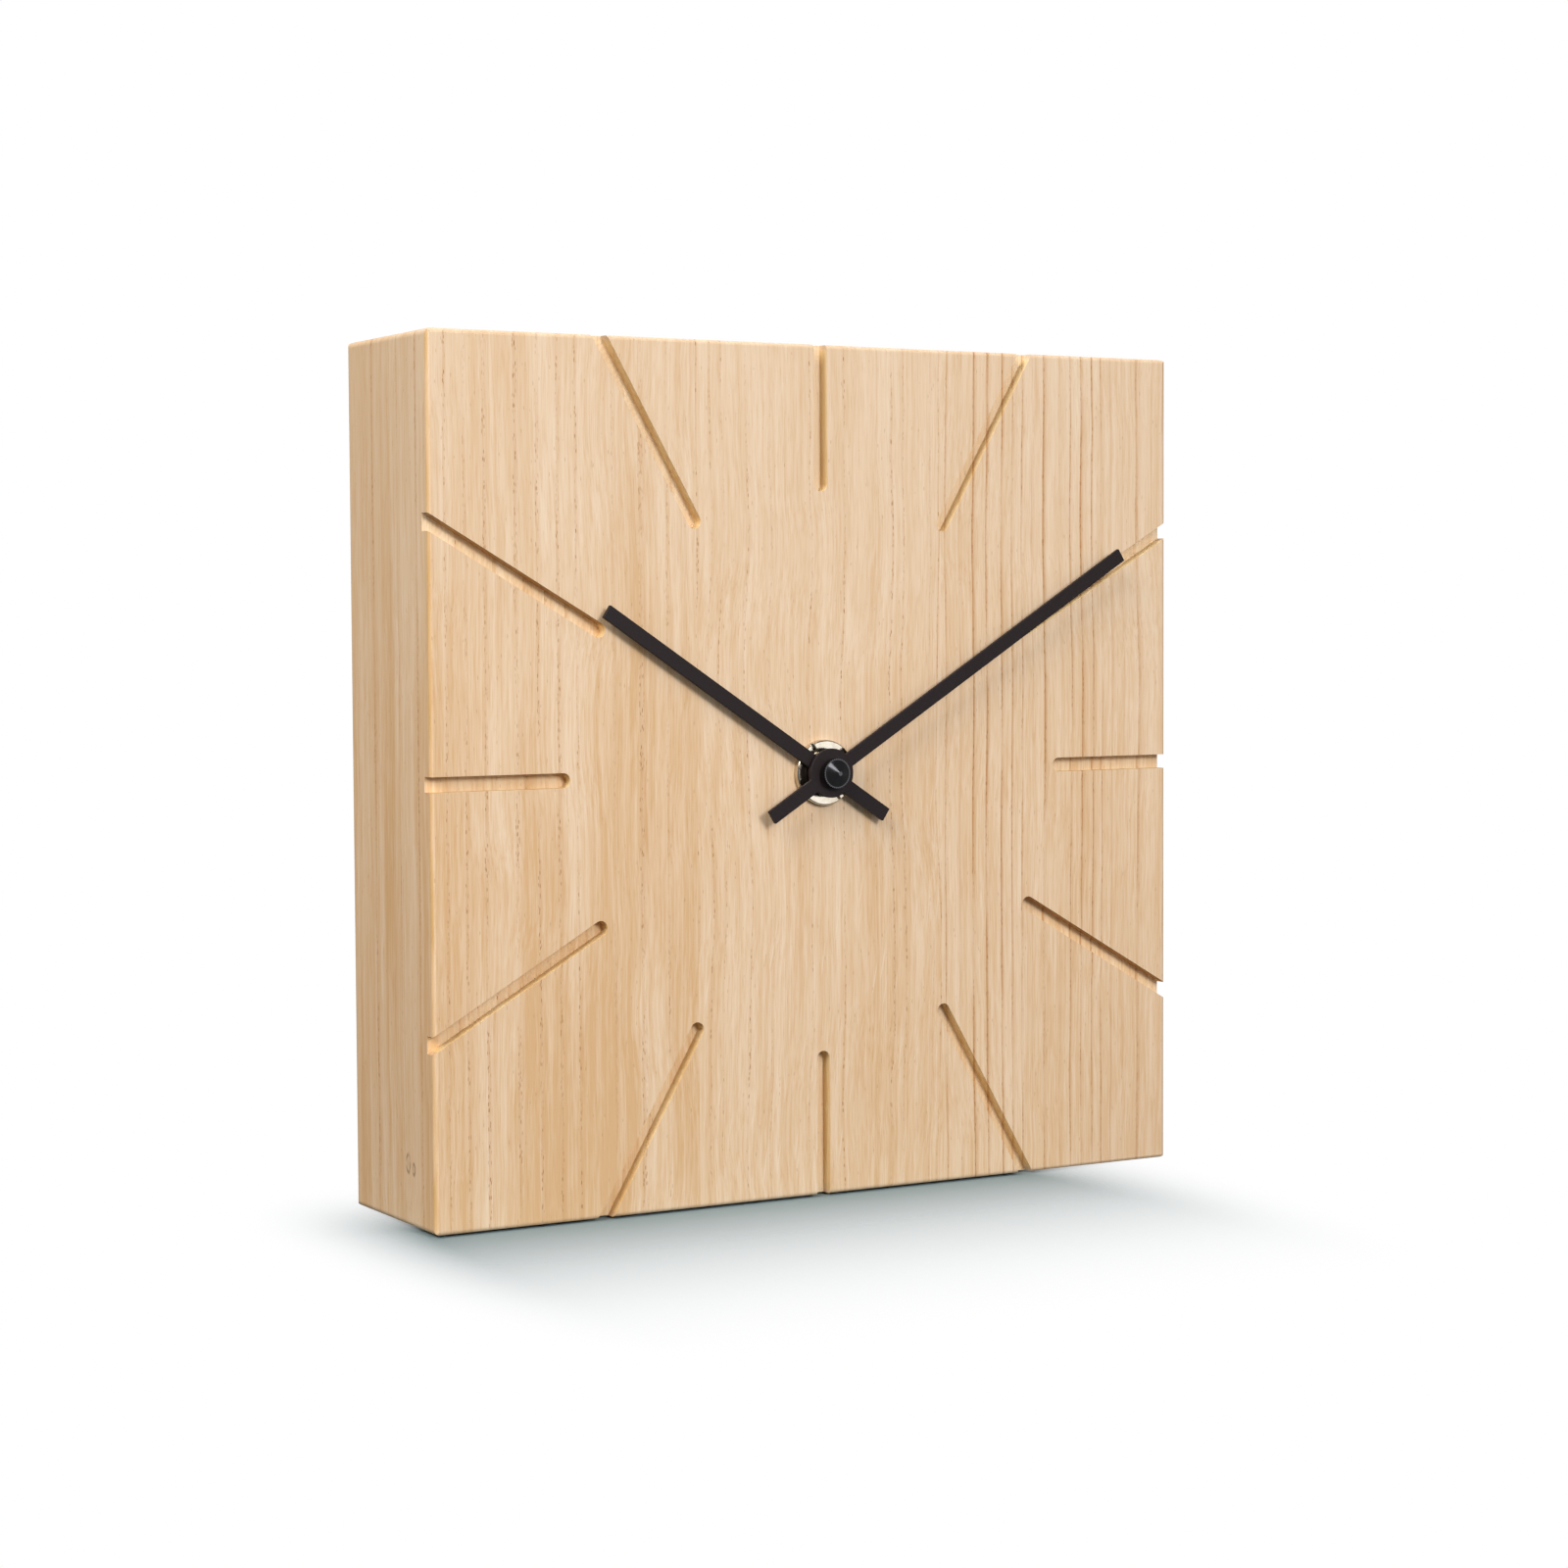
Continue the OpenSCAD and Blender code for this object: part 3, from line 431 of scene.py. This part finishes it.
def wound_wire(name):
    """Close turns of enamelled wire around the coil's upright axis."""
    graph = Graph(name)
    wire_d = 0.14
    _, _, z = graph.split(graph.place)
    wander = graph.noise((0.6, 0.6, 0.2), 2.0)
    height = graph.math("MULTIPLY_ADD", wander, wire_d, z)
    turn = graph.math("SINE", graph.math("MULTIPLY", height, 2 * math.pi / wire_d))
    shape = graph.fit(turn, -1.0, 1.0)
    # Painted shade: the copper is darker in the hollows between the turns.
    tint = graph.mix(shape, paint(104, 46, 22), paint(196, 104, 56))
    graph.surface(Base_Color=tint, Metallic=0.9, Roughness=0.3, Normal=graph.bump(shape, 0.05),
                  Coat_Weight=0.4, Coat_Roughness=0.15)
    return graph.material


# ---------- plastics and the rest ----------


def moulded(name, colour, shade, roughness, texture, depth):
    """Moulded plastic: an even fine texture, soft tone changes and faint flow marks."""
    graph = Graph(name)
    grain = graph.noise((texture, texture, texture), 3.0, 0.6)
    flow = graph.noise((0.12, 0.12, 0.05), 2.0)
    scuff = graph.noise((0.9, 2.2, 0.7), 4.0, 0.7)
    tint = graph.mix(graph.fit(flow, 0.3, 0.7), colour, shade)
    wear_and_edge_shade = graph.math("MULTIPLY", graph.fit(scuff, 0.62, 0.8), 0.25)
    tint = graph.mix(wear_and_edge_shade, tint, graph.mix(0.5, shade, grey(170)))
    rough = graph.fit(grain, 0.25, 0.75, roughness * 0.85, roughness * 1.15)
    graph.surface(Base_Color=tint, Roughness=rough, Normal=graph.bump(grain, depth))
    return graph.material


def rubber(name):
    graph = Graph(name)
    grain = graph.noise((6.0, 6.0, 6.0), 3.0, 0.6)
    bloom = graph.noise((0.4, 0.4, 0.4), 3.0)
    tint = graph.mix(graph.fit(bloom, 0.4, 0.8), grey(30), grey(56))
    graph.surface(Base_Color=tint, Roughness=0.82, Normal=graph.bump(grain, 0.02))
    return graph.material


def solder_mask(name):
    """Green mask over glass cloth, with straight copper tracks that show through."""
    graph = Graph(name)
    x, _, z = graph.split(graph.place)
    track_pitch = 1.3
    weave_pitch = 0.35
    lane = graph.math("FRACT", graph.math("DIVIDE", z, track_pitch))
    track = graph.math("MULTIPLY", graph.fit(lane, 0.3, 0.36), graph.fit(lane, 0.7, 0.64))
    broken = graph.fit(graph.noise((0.16, 0.0, 1.2), 0.0), 0.45, 0.47)
    track = graph.math("MULTIPLY", track, broken)
    weave_across = graph.math("SINE", graph.math("MULTIPLY", x, 2 * math.pi / weave_pitch))
    weave_up = graph.math("SINE", graph.math("MULTIPLY", z, 2 * math.pi / weave_pitch))
    weave = graph.fit(graph.math("MULTIPLY", weave_across, weave_up), -1.0, 1.0)
    tint = graph.mix(graph.math("MULTIPLY", weave, 0.4), paint(12, 74, 42), paint(24, 96, 56))
    tint = graph.mix(graph.math("MULTIPLY", track, 0.7), tint, paint(58, 132, 74))
    relief = graph.bump(track, 0.035, graph.bump(weave, 0.006))
    graph.surface(Base_Color=tint, Roughness=0.32, Normal=relief, Coat_Weight=0.3)
    return graph.material


def epoxy_drop(name):
    graph = Graph(name)
    swirl = graph.noise((0.8, 0.8, 0.8), 3.0)
    tint = graph.mix(graph.fit(swirl, 0.3, 0.7), grey(14), grey(30))
    rough = graph.fit(swirl, 0.3, 0.7, 0.16, 0.3)
    graph.surface(Base_Color=tint, Roughness=rough, Normal=graph.bump(swirl, 0.03))
    return graph.material


def cell_paste(name):
    graph = Graph(name)
    grit = graph.noise((4.0, 4.0, 4.0), 4.0, 0.7)
    tint = graph.mix(grit, grey(38), grey(72))
    graph.surface(Base_Color=tint, Roughness=0.9, Normal=graph.bump(grit, 0.05))
    return graph.material


def shrink_film(name):
    """Plain shrink film on the cell: dark green, with a paler band at the positive end."""
    graph = Graph(name)
    cream = paint(196, 188, 160)
    low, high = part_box(name)
    x, _, _ = graph.split(graph.place)
    from_end = graph.math("SUBTRACT", high.x * MM, x)
    band = graph.fit(from_end, 10.0, 9.9)
    line = graph.math("MULTIPLY", graph.fit(from_end, 11.2, 11.1), graph.fit(from_end, 10.5, 10.6))
    ripple = graph.noise((0.5, 1.6, 1.6), 3.0)
    end_low = graph.fit(graph.math("SUBTRACT", x, low.x * MM), 1.6, 0.2)
    crimp = graph.math("MAXIMUM", end_low, graph.fit(from_end, 1.6, 0.2))
    creases = graph.math("MULTIPLY", graph.noise((0.4, 2.4, 2.4), 2.0), crimp)
    tint = graph.mix(graph.fit(ripple, 0.3, 0.7), paint(18, 84, 52), paint(26, 100, 62))
    tint = graph.mix(band, tint, cream)
    tint = graph.mix(line, tint, cream)
    relief = graph.bump(creases, 0.25, graph.bump(ripple, 0.02))
    graph.surface(Base_Color=tint, Roughness=0.24, Normal=relief, Coat_Weight=0.3)
    return graph.material


# ---------- which material each node gets ----------

side_knots = ((dial_y + 13.5, -block_half + 13.2, 1.0), (dial_y + 10.6, -block_half + 12.3, 0.6))

oak_by_stave = {
    "oak_stave_left": oak(
        "oak_left", pith=(-235.0, 150.0), ring_width=3.4, seed=(11.0, 3.0, 40.0), warmth=-0.12,
        bands=0.34, streaks=0.46, lines=(0.27, 0.27), knots=side_knots),
    "oak_stave_centre": oak(
        "oak_centre", pith=(190.0, -60.0), ring_width=3.0, seed=(140.0, 60.0, 310.0), warmth=-0.1,
        bands=0.16, streaks=0.34, lines=(0.22, 0.62), flecks=0.5),
    "oak_stave_right": oak(
        "oak_right", pith=(-150.0, 90.0), ring_width=2.8, seed=(420.0, 15.0, 120.0), warmth=-0.12,
        bands=0.16, streaks=0.36, lines=(0.95, 0.95)),
}

rolled_upright = (5.0, 5.0, 0.12)
rolled_level = (0.12, 5.0, 5.0)
blasted = (5.0, 5.0, 5.0)
brass, dull_brass = paint(214, 176, 104), paint(186, 144, 78)

by_slot = {
    "hanger_steel": lambda node: rolled_metal(
        node, grey(196), paint(172, 176, 180), 0.34, rolled_upright),
    "screw_steel": lambda node: rolled_metal(
        node, paint(200, 196, 180), paint(176, 170, 150), 0.3, blasted),
    "nickel": lambda node: turned_metal(
        node, middle(node), paint(222, 214, 200), paint(196, 184, 164), 0.14, 4.0),
    "washer_rubber": rubber,
    "hand_black": satin_black,
    "collet_brass": lambda node: turned_metal(node, middle(node), brass, dull_brass, 0.22, 5.0),
    "cap_black": lambda node: gloss_black(node, middle(node)),
    "case_plastic": lambda node: moulded(node, grey(28), grey(36), 0.56, 5.5, 0.012),
    "plate_plastic": lambda node: moulded(
        node, paint(226, 226, 220), paint(212, 212, 204), 0.5, 6.0, 0.006),
    "gear_plastic": lambda node: moulded(
        node, paint(236, 230, 208), paint(224, 216, 190), 0.4, 6.0, 0.005),
    "arbor_brass": lambda node: turned_metal(node, middle(node), brass, dull_brass, 0.2, 6.0),
    "knob_plastic": lambda node: moulded(node, grey(58), grey(68), 0.5, 5.0, 0.01),
    "spring_bronze": lambda node: rolled_metal(
        node, paint(206, 158, 110), paint(178, 128, 84), 0.25, rolled_level),
    "magnet": sintered,
    "motor_steel": lambda node: rolled_metal(
        node, paint(178, 182, 188), paint(150, 156, 164), 0.36, rolled_upright),
    "copper_wire": wound_wire,
    "board_green": solder_mask,
    "chip_black": epoxy_drop,
    "contact_nickel": lambda node: rolled_metal(
        node, paint(206, 200, 190), paint(182, 174, 160), 0.24, rolled_upright),
    "can_steel": lambda node: rolled_metal(node, grey(208), grey(182), 0.2, rolled_level),
    "battery_paste": cell_paste,
    "battery_jacket": shrink_film,
}


def dress(node, slot):
    """Puts the node's own material in its object's slots."""
    material = oak_by_stave[node] if node in oak_by_stave else by_slot[slot](node)
    for holder in nodes[node].material_slots:
        holder.link = "OBJECT"
        holder.material = material


for part in frame["record"]["subparts"]:
    dress(part["node"], part["material_slot"])


# ---------- softened edges ----------

crease_angle = 35.0
same_point = 1e-6

def soften(node, width):
    """Breaks a hard edge by a width in millimetres, so that it catches the light."""
    piece = nodes[node]
    weld = piece.modifiers.new("weld", "WELD")
    weld.merge_threshold = same_point
    bevel = piece.modifiers.new("bevel", "BEVEL")
    bevel.width = width / MM
    bevel.segments = 2
    bevel.limit_method = "ANGLE"
    bevel.angle_limit = math.radians(crease_angle)
    bevel.harden_normals = True


for node in ("hour_hand", "minute_hand"):
    soften(node, 0.12)
soften("dial_nut", 0.08)


# ---------- floor, light and camera ----------

floor_drop = 0.0005

# How the floor's painted shadow fades: over this many millimetres ahead of the dial, and this
# many times faster to the left, to the right and behind.
floor_fade = 130.0
fade_left = 4.0
fade_right = 3.4
fade_right_start = 54.0
fade_behind = 2.2
fade_behind_start = dial_y + 10.0
fade_power = 2.3


def floor_with_painted_shadow(name):
    """Grey-blue matt floor round the foot of the block, that fades to clear in the white room:
    a painted shadow. Its tone and its fade follow the soft shadow in the photo."""
    graph = Graph(name)
    mottle = graph.noise((0.01, 0.01, 0.01), 2.0)
    tint = graph.mix(mottle, paint(130, 147, 153), paint(126, 143, 149))
    x, y, _ = graph.split(graph.place)
    rightward = graph.math("MULTIPLY", graph.math("SUBTRACT", x, fade_right_start), fade_right)
    leftward = graph.math("MULTIPLY", graph.math("SUBTRACT", -block_half, x), fade_left)
    aside = graph.math("MAXIMUM", graph.math("MAXIMUM", leftward, rightward), 0.0)
    behind = graph.math("MULTIPLY", graph.math("SUBTRACT", y, fade_behind_start), fade_behind)
    behind = graph.math("MAXIMUM", behind, 0.0)
    ahead = graph.math("MAXIMUM", graph.math("SUBTRACT", dial_y, y), behind)
    away = graph.vector("LENGTH", graph.join(aside, ahead, 0.0))
    near = graph.math("SUBTRACT", 1.0, graph.math("DIVIDE", away, floor_fade))
    near = graph.math("MAXIMUM", near, 0.0)
    graph.surface(Base_Color=tint, Roughness=0.9, Specular_IOR_Level=0.1,
                  Alpha=graph.math("POWER", near, fade_power))
    return graph.material


def make_floor(size):
    half = size / 2
    level = cad_box[0].z - floor_drop
    mesh = bpy.data.meshes.new("studio_floor")
    corners = [(-half, -half), (half, -half), (half, half), (-half, half)]
    mesh.from_pydata([(x, y, level) for x, y in corners], [], [(0, 1, 2, 3)])
    mesh.materials.append(floor_with_painted_shadow("studio_floor"))
    floor = bpy.data.objects.new("studio_floor", mesh)
    bpy.context.scene.collection.objects.link(floor)


def toward(azimuth, elevation):
    """Unit vector away from the clock, by degrees right of the dial and degrees above level."""
    a, e = math.radians(azimuth), math.radians(elevation)
    return Vector((math.sin(a) * math.cos(e), -math.cos(a) * math.cos(e), math.sin(e)))


def softbox(name, azimuth, elevation, distance, size, watts, colour=(1.0, 1.0, 1.0)):
    """A round soft light that points at the clock. Distance and size are in metres."""
    light = bpy.data.lights.new(name, "AREA")
    light.shape = "DISK"
    light.size = size
    light.energy = watts
    light.color = colour
    lamp = bpy.data.objects.new(name, light)
    bpy.context.scene.collection.objects.link(lamp)
    away = toward(azimuth, elevation)
    lamp.location = away * distance
    lamp.rotation_euler = away.to_track_quat("Z", "Y").to_euler()


def studio_world(strength):
    """White to the camera, and an even soft light of the given strength to the object."""
    world = bpy.data.worlds.new("studio")
    bpy.context.scene.world = world
    world.use_nodes = True
    tree = world.node_tree
    background = tree.nodes["Background"]
    background.inputs["Color"].default_value = (1.0, 1.0, 1.0, 1.0)
    path = tree.nodes.new("ShaderNodeLightPath")
    choose = tree.nodes.new("ShaderNodeMapRange")
    choose.inputs["To Min"].default_value = strength
    choose.inputs["To Max"].default_value = 1.0
    tree.links.new(path.outputs["Is Camera Ray"], choose.inputs["Value"])
    tree.links.new(choose.outputs["Result"], background.inputs["Strength"])


def make_camera(azimuth, elevation, roll, distance, across, rise, lens):
    """A camera that looks back at the clock along one direction, turned by roll about it.
    Across and rise move the camera sideways and up, in metres."""
    data = bpy.data.cameras.new("camera")
    data.lens = lens
    data.sensor_width = 36.0
    data.clip_start = 0.01
    data.clip_end = 50.0
    camera = bpy.data.objects.new("camera", data)
    bpy.context.scene.collection.objects.link(camera)
    back = toward(azimuth, elevation)
    right = Vector((0.0, 0.0, 1.0)).cross(back).normalized()
    up = back.cross(right)
    turn = Matrix.Rotation(math.radians(roll), 3, back)
    right, up = turn @ right, turn @ up
    stand = Matrix.Translation(back * distance + right * across + up * rise)
    camera.matrix_world = stand @ Matrix((right, up, back)).transposed().to_4x4()
    bpy.context.scene.camera = camera


make_floor(size=0.6)
studio_world(strength=0.16)
softbox("key", 0.0, 18.0, distance=1.2, size=0.3, watts=7.0, colour=(1.0, 0.99, 0.98))
softbox("left_fill", -66.0, 38.0, distance=1.3, size=0.9, watts=17.5, colour=(1.0, 0.95, 0.87))
softbox("right_card", 30.0, 3.0, distance=1.5, size=0.7, watts=1.5)
softbox("rear_fill", 150.0, 58.0, distance=1.5, size=1.2, watts=14.0)
softbox("glint", -4.0, 31.0, distance=1.2, size=0.4, watts=2.0)
make_camera(azimuth=-30.0446, elevation=2.9465, roll=-0.297, distance=0.7313,
            across=0.01299, rise=-0.00431, lens=73.319)
bpy.context.scene.view_settings.view_transform = "Standard"
